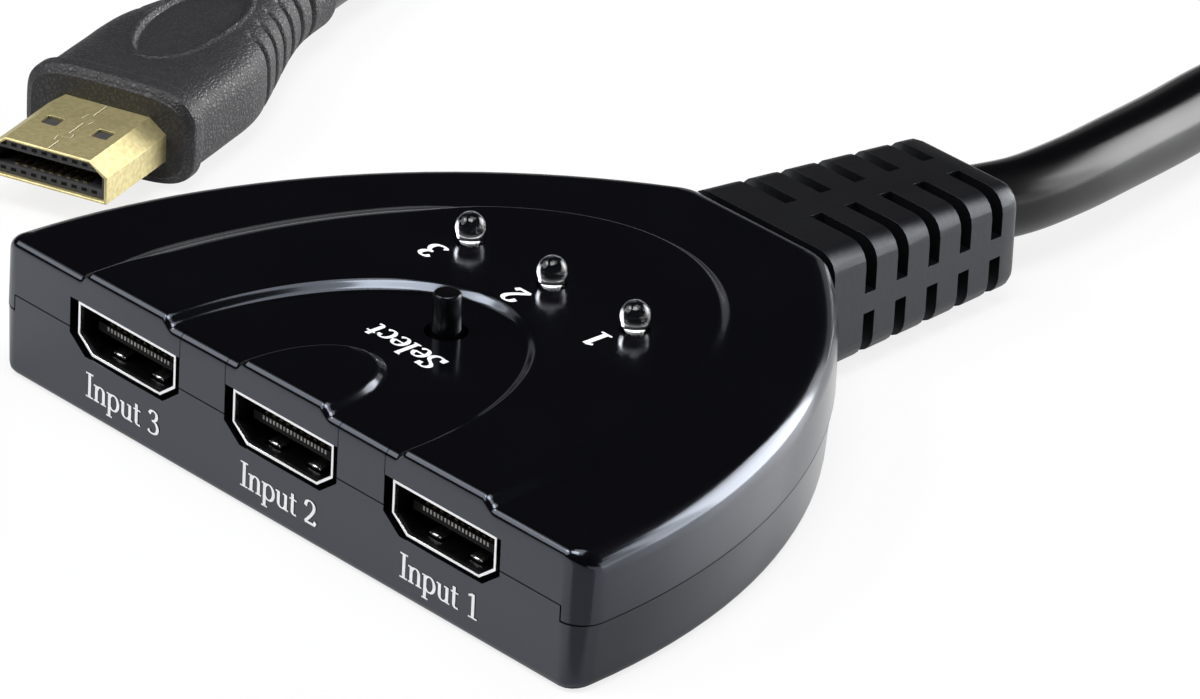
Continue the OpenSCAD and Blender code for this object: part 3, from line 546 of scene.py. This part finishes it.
def make_hood():
    """Squarish ovals |x/w|^n + |z/h|^n = 1 that narrow and turn round towards the lead, with grooved sides,
    and a shallow oval panel with a raised rim sunk into the top. The points go round by equal angles."""
    y = np.concatenate([[0, 0.06, 0.25, 0.6], np.linspace(1, 39.4, 230), [39.7, 39.9, HOOD_LENGTH]])
    lip = 0.9 * (1 - smooth_step(y / 0.9)) ** 2
    waist = 0.45 * smooth_step((y - 2.1) / 1.1) * (1 - smooth_step((y - 9) / 8))
    end = 0.6 * smooth_step((y - 39.3) / 0.7)
    inset = lip + waist + end
    narrow = smooth_step((y - 9) / (HOOD_LENGTH - 12))
    low = smooth_step((y - 20) / (HOOD_LENGTH - 22))
    w = (HOOD_WIDTH + (HOOD_TAIL_D - HOOD_WIDTH) * narrow) / 2 - inset
    h = (HOOD_HEIGHT + (HOOD_TAIL_D - HOOD_HEIGHT) * low) / 2 - inset
    n = 4 - 2 * smooth_step((y - 6) / (HOOD_LENGTH - 12))
    phase = (y - RIBS_START) / (RIBS_STOP - RIBS_START) * RIBS
    groove = RIB_DEPTH * ((phase > 0) & (phase < RIBS)) * np.exp(-(((phase % 1) - 0.8) / 0.11) ** 2)
    a = np.linspace(0, 2 * np.pi, 240, endpoint=False)
    c, s = np.cos(a)[None], np.sin(a)[None]
    w, h, n, y = w[:, None], h[:, None], n[:, None], y[:, None]
    across, upward = np.abs(c / w) ** n, np.abs(s / h) ** n
    g = groove[:, None] * smooth_step((np.sqrt(across / (across + upward)) - 0.5) / 0.2)
    reach = (np.abs(c / (w - g)) ** n + np.abs(s / (h - 0.5 * g)) ** n) ** (-1 / n)
    x, z = reach * c, reach * s
    oval = np.hypot(x / PANEL_WIDE, (y - PANEL_Y) / PANEL_LONG)
    steep = np.hypot(x / PANEL_WIDE**2, (y - PANEL_Y) / PANEL_LONG**2) / np.maximum(oval, 1e-6)
    away = (oval - 1) / np.clip(steep, 1 / PANEL_LONG, 1 / PANEL_WIDE)
    rim = PANEL_RIM * np.exp(-(((away - 0.25) / 0.22) ** 2))
    z = z - (z > 2) * (PANEL_SUNK * smooth_step(-away / 0.35) - rim)
    rings = np.stack([x, SHELL_BARE + y + 0 * x, z], -1)
    front = np.array([0, SHELL_BARE, 0.0]) + 0 * rings[:1]
    rear = np.array([0, SHELL_BARE + HOOD_LENGTH, 0.0]) + 0 * rings[:1]
    points = at_plug(np.concatenate([front, rings, rear]))
    piece = make_surface("plug_hood_grained", points, "case", "hood_grey", hood_finish, sharp=50, flip=True)
    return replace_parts(piece, "plug_hood")


hood = make_hood()
shell = eased_copy("plug_shell", "plug_shell_folded", gold, "plug_gold", sharp=30, bevel=0.14)


def make_plug_seam(name, finish, shift, half):
    """The sheet's joint on top of the shell: a fine line that steps round two dovetail keys."""
    x = np.array([0, 0, -0.55, -0.75, 0.75, 0.55, 0, 0, 0.55, 0.75, -0.75, -0.55, 0, 0]) + shift
    y = [0.05, 2.4, 2.4, 3.4, 3.4, 4.4, 4.4, 7.2, 7.2, 8.2, 8.2, 9.2, 9.2, 11.9]
    line = np.stack([x, y], -1)
    side = unit(np.stack([np.gradient(line[:, 1]), -np.gradient(line[:, 0])], -1)) * half
    top = 0 * line[:, :1] + SHELL_TOP + 0.004
    strip = np.stack([np.c_[line - side, top], np.c_[line + side, top]], 1)
    return make_surface(name, at_plug(strip), "case", "plug_gold", finish, wrap=False)


# The pale strip paints the highlight along the joint; the dark strip beside it is the joint's gap.
seam = make_plug_seam("plug_shell_seam", seam_painted_highlight, 0.0, 0.07)
seam_gap = make_plug_seam("plug_shell_seam_gap", insulator, 0.095, 0.035)


def make_dashes(name, centres, size, slot, finish, place=np.asarray):
    """Low pads in a row: one box of the given size at each centre, all in one mesh."""
    corner = np.array([(i, j, k) for i in (-1, 1) for j in (-1, 1) for k in (-1, 1)]) * np.asarray(size) / 2
    quads = np.array([(0, 1, 3, 2), (4, 6, 7, 5), (0, 4, 5, 1), (2, 3, 7, 6), (0, 2, 6, 4), (1, 5, 7, 3)])
    points = (centres[:, None] + corner).reshape(-1, 3)
    faces = (np.arange(len(centres))[:, None, None] * 8 + quads).reshape(-1, 4)
    return make_piece(name, place(points) * MM, faces.tolist(), "case", slot, finish, smooth=False)


MARKS, MARK_PITCH, MARK_Y, MARK_Z, MARK_SIZE = 10, 1.18, 0.49, 1.36, (0.62, 0.03, 0.34)


def make_insert_marks():
    """Ends of the plug's contact channels: a row of dark recess marks above its slot and one below, dark pads that
    paint the shade in the recesses.
    """
    x = (np.arange(MARKS) - (MARKS - 1) / 2) * MARK_PITCH
    rows = [np.stack([x, 0 * x + MARK_Y, 0 * x + z], -1) for z in (MARK_Z, -MARK_Z)]
    centres = np.concatenate(rows)
    return make_dashes("plug_insert_marks", centres, MARK_SIZE, "insulator_black", insulator, at_plug)


insert_marks = make_insert_marks()


# Case and strain relief: merged copies of the solids with the finishes of the real mouldings (millimetres)
CONTOUR_A, CONTOUR_B, CONTOUR_Y = 29.25, 49.1, -30.2
SLOPE_HALF, SLOPE_GROWTH = 0.8, 1.3


def broaden_slope(points):
    """The slope of the roof's outer contour grows broad and faint along both sides of the case. A point of it
    is ((A - d) cos t, (B - d) sin t): its angle t stays, and its inset d, found by Newton's steps, grows up to
    2.3 times."""
    x, y, z = points[:, 0], points[:, 1] - CONTOUR_Y, points[:, 2]
    on_contour = np.abs(np.hypot(x / CONTOUR_A, y / CONTOUR_B) - 1) < 0.06
    near = on_contour & (z > LOW_BAND_TOP - 0.1) & (y > 0.5)
    x, y = np.abs(x[near]), y[near]
    d = 0 * x
    for _ in range(6):
        a, b = CONTOUR_A - d, CONTOUR_B - d
        d = d - ((x / a) ** 2 + (y / b) ** 2 - 1) / (2 * x**2 / a**3 + 2 * y**2 / b**3)
    t = np.arctan2(y / (CONTOUR_B - d), x / (CONTOUR_A - d))
    turned = np.degrees(t)
    grown = 1 + SLOPE_GROWTH * smooth_step((55 - turned) / 13) * smooth_step((turned - 3) / 9)
    d = np.where(np.abs(d) < SLOPE_HALF + 0.02, d * grown, d)
    moved = points.copy()
    moved[near, 0] = np.sign(points[near, 0]) * (CONTOUR_A - d) * np.cos(t)
    moved[near, 1] = CONTOUR_Y + (CONTOUR_B - d) * np.sin(t)
    return moved


eased_copy("upper_shell", "case_upper", case_finish, "case_black", reshape=broaden_slope)
eased_copy("lower_shell", "case_lower", case_finish, "case_black")
eased_copy("strain_relief", "strain_relief_moulded", relief_finish, "relief_black", sharp=50, bevel=0.34)


# Ports: folded shells with eased edges, contact tips along the tongue's front edge, rolled tips of the springs
CONTACTS, CONTACT_PITCH, TIP_Y, TIP_Z, TIP_SIZE = 19, 0.5, -29.31, 9.36, (0.22, 0.04, 0.42)
SPRING_TIP_Y, SPRING_TIP_Z, SPRING_TIP_RADII = -29.05, 7.17, (0.6, 0.3, 0.2)


def make_contact_tips(number, x):
    """A level row of pads, one on the end of each contact."""
    across = x + (np.arange(CONTACTS) - (CONTACTS - 1) / 2) * CONTACT_PITCH
    centres = np.stack([across, 0 * across + TIP_Y, 0 * across + TIP_Z], -1)
    make_dashes(f"port_contact_tips_{number}", centres, TIP_SIZE, "contact_gold", tip_metal)


def make_spring_tips(number, x):
    """Rolled ends of the two lower springs: ellipsoids (a cos u cos v, b sin u cos v, c sin v)."""
    u = np.linspace(0, 2 * np.pi, 24, endpoint=False)
    v = np.radians(np.linspace(-90, 90, 13))[:, None]
    ball = np.stack([np.cos(u) * np.cos(v), np.sin(u) * np.cos(v), np.sin(v) + 0 * u], -1) * SPRING_TIP_RADII
    for side, away in (("left", -SPRING_X), ("right", SPRING_X)):
        points = ball + (x + away, SPRING_TIP_Y, SPRING_TIP_Z)
        make_surface(f"port_spring_{number}_{side}", points, "case", "port_steel", spring_steel, sharp=60)


for number, x in enumerate(PORT_X, 1):
    eased_copy(f"port_shell_{number}", f"port_shell_{number}_folded", steel, "port_steel", sharp=30, bevel=0.1)
    make_contact_tips(number, x)
    make_spring_tips(number, x)


# Lamps and select button: turned profiles of (radius, height), in millimetres
LAMP_AT = [(11.9, 3.0), (0.0, 3.0), (-11.9, 3.0)]
LAMP_R, LAMP_RISE, LAMP_SEAT_Z = 1.5, 3.0, 13.0
BUTTON_Y, BOARD_TOP, BUTTON_TOP, BUTTON_R, BUTTON_EDGE_R = -10.5, 6.6, 12.2, 1.4, 0.35
BUTTON_FLANGE = [(0, 1.32), (2.3, 1.32), (2.3, 3.08), (1.7, 3.08), (1.7, 3.4)]


def make_lamp(number, x, y):
    """Flange, barrel and dome of one lamp, with the cup and post that show through its clear resin."""
    dome = arc(0, BAND_TOP + LAMP_RISE - LAMP_R - LAMP_SEAT_Z, LAMP_R, LAMP_R, -30, 90, 26)
    outer = np.concatenate([[(0, 0), (1.9, 0), (1.9, 1.0), (1.3, 1.0)], dome])
    outer[-1, 0] = 0
    turned = lathe(outer, (x, y, LAMP_SEAT_Z), 56)
    lens = make_surface(f"lamp_lens_{number}", turned, "case", "lamp_clear", lamp)
    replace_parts(lens, f"led_lens_{number}")
    lens.visible_shadow = False
    seat = [(0, 2.3), (0.5, 2.3), (0.62, 2.58), (0.55, 2.58), (0.4, 2.5), (0, 2.5)]
    cup = [(0, 0.05), (0.2, 0.05), (0.2, 2.35), (0, 2.35)]
    post = [(0, 0.05), (0.16, 0.05), (0.16, 2.6), (0.08, 2.7), (0, 2.7)]
    for part, profile, aside, steps, finish in (
        ("reflector", seat, 0, 32, reflector), ("cup", cup, 0, 16, tin), ("post", post, 0.85, 12, tin),
    ):
        turned = lathe(profile, (x + aside, y, LAMP_SEAT_Z), steps)
        make_surface(f"lamp_{part}_{number}", turned, "case", "tinned_metal", finish, sharp=30)


for number, (x, y) in enumerate(LAMP_AT, 1):
    make_lamp(number, x, y)


def make_button():
    """Switch stem: flange, collar and a taper with a rounded top edge, heights above the board."""
    edge = arc(
        BUTTON_R - BUTTON_EDGE_R, BUTTON_TOP - BUTTON_EDGE_R, BUTTON_EDGE_R, BUTTON_EDGE_R, 8, 90, 8
    )
    turned = lathe(np.concatenate([BUTTON_FLANGE, edge, [(0, BUTTON_TOP)]]), (0, BUTTON_Y, BOARD_TOP))
    piece = make_surface("select_button_turned", turned, "button", "button_black", button_finish)
    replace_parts(piece, "select_button")


make_button()


def make_snap_dome():
    """Sprung dome under the button: height = h (1 - (r/R)^2) outside and a sheet's thickness less inside."""
    low, high = (np.array(corner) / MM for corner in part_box("snap_dome"))
    centre, rim, sheet = (low + high) / 2, (high - low)[0] / 2, 0.12
    height = high[2] - low[2]
    r = np.linspace(0, 1, 14)
    outer = np.stack([rim * r, height * (1 - r**2)], -1)
    inner = np.stack([(rim - sheet) * r, (height - sheet) * (1 - r**2)], -1)
    dome = lathe(np.concatenate([inner, outer[::-1]]), (*centre[:2], low[2]))
    piece = make_surface("snap_dome_sprung", dome, "case", "tinned_metal", tin)
    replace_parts(piece, "snap_dome")
    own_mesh(piece)


make_snap_dome()


# Lettering: pen strokes that are broad when upright and fine when level, in units of the capital height

def bar(x0, x1, y):
    """A level line from x0 to x1."""
    return np.array([(x0, y), (x1, y)], float)


def stem(x, y0, y1):
    """An upright line from y0 to y1."""
    return np.array([(x, y0), (x, y1)], float)


GLYPHS = {
    "I": (0.40, [stem(0.2, 0, 1), bar(0.03, 0.37, 0.02), bar(0.03, 0.37, 0.98)]),
    "n": (0.62, [
        stem(0.13, 0, 0.66), bar(0.01, 0.26, 0.02), bar(0.0, 0.13, 0.635),
        np.concatenate([arc(0.315, 0.47, 0.155, 0.185, 165, 0, 16), [(0.47, 0.0)]]), bar(0.35, 0.60, 0.02),
    ]),
    "p": (0.64, [
        stem(0.13, -0.31, 0.66), bar(0.0, 0.27, -0.29), bar(0.0, 0.13, 0.635),
        arc(0.325, 0.335, 0.215, 0.315, 155, -155, 32),
    ]),
    "u": (0.62, [
        np.concatenate([[(0.13, 0.65)], arc(0.29, 0.2, 0.16, 0.175, 180, 335, 16)]), stem(0.46, 0, 0.65),
        bar(0.0, 0.13, 0.63), bar(0.33, 0.46, 0.63), bar(0.46, 0.59, 0.025),
    ]),
    "t": (0.38, [
        np.concatenate([[(0.15, 0.86)], arc(0.26, 0.14, 0.11, 0.115, 180, 310, 12)]), bar(0.01, 0.34, 0.63),
    ]),
    "S": (0.60, [
        through([
            (0.48, 0.76), (0.42, 0.91), (0.28, 0.97), (0.15, 0.90), (0.10, 0.76), (0.18, 0.62), (0.32, 0.52),
            (0.46, 0.40), (0.50, 0.24), (0.43, 0.09), (0.28, 0.03), (0.13, 0.10), (0.07, 0.26),
        ], 5),
        stem(0.49, 0.74, 0.98), stem(0.06, 0.02, 0.28),
    ]),
    "e": (0.57, [arc(0.28, 0.33, 0.21, 0.315, 8, 318, 36), bar(0.08, 0.49, 0.37)]),
    "l": (0.30, [stem(0.14, 0, 1.03), bar(0.0, 0.28, 0.02), bar(0.0, 0.14, 1.0)]),
    "c": (0.53, [arc(0.28, 0.33, 0.21, 0.315, 48, 315, 32), stem(0.42, 0.47, 0.58)]),
    "1": (0.56, [stem(0.30, 0, 0.98), np.array([(0.10, 0.85), (0.28, 0.96)]), bar(0.11, 0.49, 0.02)]),
    "2": (0.58, [
        through([
            (0.06, 0.70), (0.12, 0.89), (0.27, 0.965), (0.42, 0.87),
            (0.45, 0.69), (0.36, 0.47), (0.2, 0.24), (0.06, 0.06),
        ], 5),
        bar(0.05, 0.50, 0.05), bar(0.10, 0.48, 0.09), np.array([(0.46, 0.05), (0.53, 0.22)]),
    ]),
    "3": (0.58, [
        through([
            (0.08, 0.80), (0.15, 0.92), (0.27, 0.965), (0.40, 0.88), (0.42, 0.74), (0.34, 0.60), (0.20, 0.545),
        ], 5),
        through([
            (0.20, 0.545), (0.38, 0.49), (0.47, 0.30), (0.42, 0.11), (0.26, 0.03), (0.12, 0.05), (0.05, 0.14),
        ], 5),
    ]),
    " ": (0.30, []),
}
INK_LIFT, STROKE_RISE = 0.012, 0.003


def stroke(line, stretch, weight):
    """A strip either side of the line, broad where it is upright: half width = weight (0.03 + 0.05 |rise|^1.5)."""
    line = line * [stretch, 1]
    along = unit(np.gradient(line, axis=0))
    half = weight * (0.03 + 0.05 * np.abs(along[:, 1:]) ** 1.5) * np.stack([along[:, 1], -along[:, 0]], -1)
    return np.stack([line - half, line + half], 1)


def make_label(name, text, centre, right, up, cap, width, weight=1.0):
    """Text as flat ink on a face: x runs along right and y along up, centred at the middle of its capitals.
    Each stroke lies a few microns above the one before it, so that no two share a plane."""
    natural = sum(GLYPHS[c][0] for c in text)
    stretch = width / cap / natural
    points, faces, pen, used = [], [], 0.0, 0
    for letter in text:
        advance, lines = GLYPHS[letter]
        for line in lines:
            strip = stroke(line + [pen, 0], stretch, weight)
            faces.append(grid_faces(len(strip), 2, False) + used)
            flat = strip.reshape(-1, 2) - [natural * stretch / 2, 0.5]
            points.append(np.c_[flat * cap, np.full(len(flat), INK_LIFT + STROKE_RISE * len(points))])
            used += len(flat)
        pen += advance
    axes = np.array([right, up, np.cross(right, up)], float)
    solid = np.asarray(centre, float) + np.concatenate(points) @ axes
    make_piece(name, solid * MM, np.concatenate(faces).tolist(), "case", "wire_white", ink, smooth=False)


# Places of the legends (millimetres): those on the roof read from behind the case
PORT_LEGEND_Z, SELECT_LEGEND_Y = 3.6, -15.9
LAMP_LEGEND_X, LAMP_LEGEND_Y = (11.3, -0.4, -12.5), -1.4
ON_FRONT = {"right": (1, 0, 0), "up": (0, 0, 1)}
ON_ROOF = {"right": (-1, 0, 0), "up": (0, -1, 0)}
for number, x in enumerate(PORT_X, 1):
    place = (x, FRONT_Y, PORT_LEGEND_Z)
    make_label(f"legend_input_{number}", f"Input {number}", place, **ON_FRONT, cap=2.6, width=11.3)
place = (0, SELECT_LEGEND_Y, LOW_BAND_TOP)
make_label("legend_select", "Select", place, **ON_ROOF, cap=2.8, width=10.0, weight=1.2)
for number, x in enumerate(LAMP_LEGEND_X, 1):
    place = (x, LAMP_LEGEND_Y, BAND_TOP)
    make_label(f"legend_lamp_{number}", str(number), place, **ON_ROOF, cap=3.0, width=2.1, weight=1.3)


# Solids that stay as they are, with their finishes
KEPT = {
    "main_board": board, "switch_chip": chip, "memory_chips": chip, "switch_chip_leads": tin,
    "board_passives": passive, "led_leads": tin, "tact_base": chip, "tact_cover": tin, "tact_pins": tin,
    "case_screws": tin, "lead_wires": wire, "plug_insulator": insert_grey, "plug_contacts": contact,
}
for number in (1, 2, 3):
    KEPT[f"port_insulator_{number}"] = insulator
    KEPT[f"port_contacts_{number}"] = contact
for name, finish in KEPT.items():
    nodes[name].data.materials.clear()
    nodes[name].data.materials.append(finish)


# Floor, lights and world. The floor's glow in the camera, and its shares of tone in gloss and glass: all over,
# beside the case and in front of its near corner, where that tone is painted shade, and behind it
FLOOR_HALF, FLOOR_GLOW = 3.0, 0.82
PLAIN_SHARE, BESIDE_SHARE, CORNER_SHARE, BEHIND_SHARE = 0.2, 0.3, 0.5, 0.15
FLOOR_SHADE, FLOOR_WHITE = (0.12, 0.12, 0.13), (1, 1, 1)


def make_floor():
    """A pale floor with a soft gloss that takes shadows. The camera sees it near white. Gloss and glass see it
    white behind the case, and darkened by painted shade close beside the case and in front of its near corner."""
    corners = np.array([(-1, -1, 0), (1, -1, 0), (1, 1, 0), (-1, 1, 0)]) * FLOOR_HALF - [0, 0, 0.0001]
    mesh = bpy.data.meshes.new("floor")
    mesh.from_pydata(corners.tolist(), [], [(0, 1, 2, 3)])
    f = Finish("floor_white", Base_Color=(0.86, 0.86, 0.87), Roughness=0.3)
    x, y, _ = f.parts(f.place())
    past_front = y - FRONT_Y * MM
    width, depth = x * (1 / CASE_HALF / MM), past_front.most(0) * (1 / CASE_DEPTH / MM)
    # Painted shade, seen only in gloss and glass: beside the case and in front of its near corner.
    beside = (width * width + depth * depth).math("SQRT").step(1.8, 1.0)
    beside = beside * past_front.step(-0.002, 0.004) * y.step(0.02, -0.015)
    corner = (x - CASE_HALF * MM).step(-0.003, 0.002) * past_front.step(0.003, -0.002)
    behind = y.step(-0.005, 0.02)
    seen = f.node("LightPath", out="Is Camera Ray")
    mirrored = f.node("LightPath", out="Is Glossy Ray").most(f.node("LightPath", out="Is Transmission Ray"))
    share = PLAIN_SHARE + BESIDE_SHARE * beside + CORNER_SHARE * corner + BEHIND_SHARE * behind
    tone = f.mix(seen.most(behind), FLOOR_SHADE, FLOOR_WHITE)
    glow = f.node("Emission", sockets={"Color": tone, "Strength": 1.0})
    mesh.materials.append(f.cover((FLOOR_GLOW * seen).most(mirrored * share), glow))
    floor = bpy.data.objects.new("floor", mesh)
    scene.collection.objects.link(floor)


def make_softbox(name, azimuth, elevation, distance, width, height, radiance):
    """A rectangular lamp that faces the case from an azimuth round from the front; power = radiance pi area."""
    data = bpy.data.lights.new(name, "AREA")
    data.shape = "RECTANGLE"
    data.size, data.size_y = width, height
    data.energy = radiance * math.pi * width * height
    box = bpy.data.objects.new(name, data)
    a, e = math.radians(azimuth), math.radians(elevation)
    direction = Vector((math.sin(a) * math.cos(e), -math.cos(a) * math.cos(e), math.sin(e)))
    turn = direction.to_track_quat("Z", "Y").to_matrix().to_4x4()
    box.matrix_world = Matrix.Translation(direction * distance) @ turn
    box.visible_camera = False
    scene.collection.objects.link(box)


make_floor()
make_softbox("overhead", 36, 75, 1.0, 0.5, 0.42, 8.4)
make_softbox("canopy", 125, 79, 1.1, 0.75, 0.6, 2.2)
make_softbox("bridge", 318, 55, 1.0, 0.38, 0.28, 7.5)
make_softbox("front", 322, 38, 1.0, 0.85, 0.62, 2.5)
make_softbox("left", 286, 44, 1.0, 0.28, 0.45, 0.6)
make_softbox("horizon_left", 222, 6.5, 1.5, 2.5, 0.32, 0.22)
make_softbox("horizon_right", 112, 4.6, 1.5, 2.5, 0.22, 0.9)

# Rear boxes stand on the horizon: azimuth, elevation of the top edge, width and radiance
REAR_DISTANCE = 2.0
for name, azimuth, top, width, radiance in (
    ("rear_wide", 154, 23, 2.9, 1.4), ("rear_mid", 161, 30, 1.62, 3.3), ("rear_near", 167.5, 35, 1.11, 5.4),
):
    height = 2 * REAR_DISTANCE * math.tan(math.radians(top) / 2)
    make_softbox(name, azimuth, top / 2, REAR_DISTANCE, width, height, radiance)
world = bpy.data.worlds.new("studio")
world.use_nodes = True
world.node_tree.nodes["Background"].inputs["Color"].default_value = (0.014, 0.014, 0.016, 1)
scene.world = world
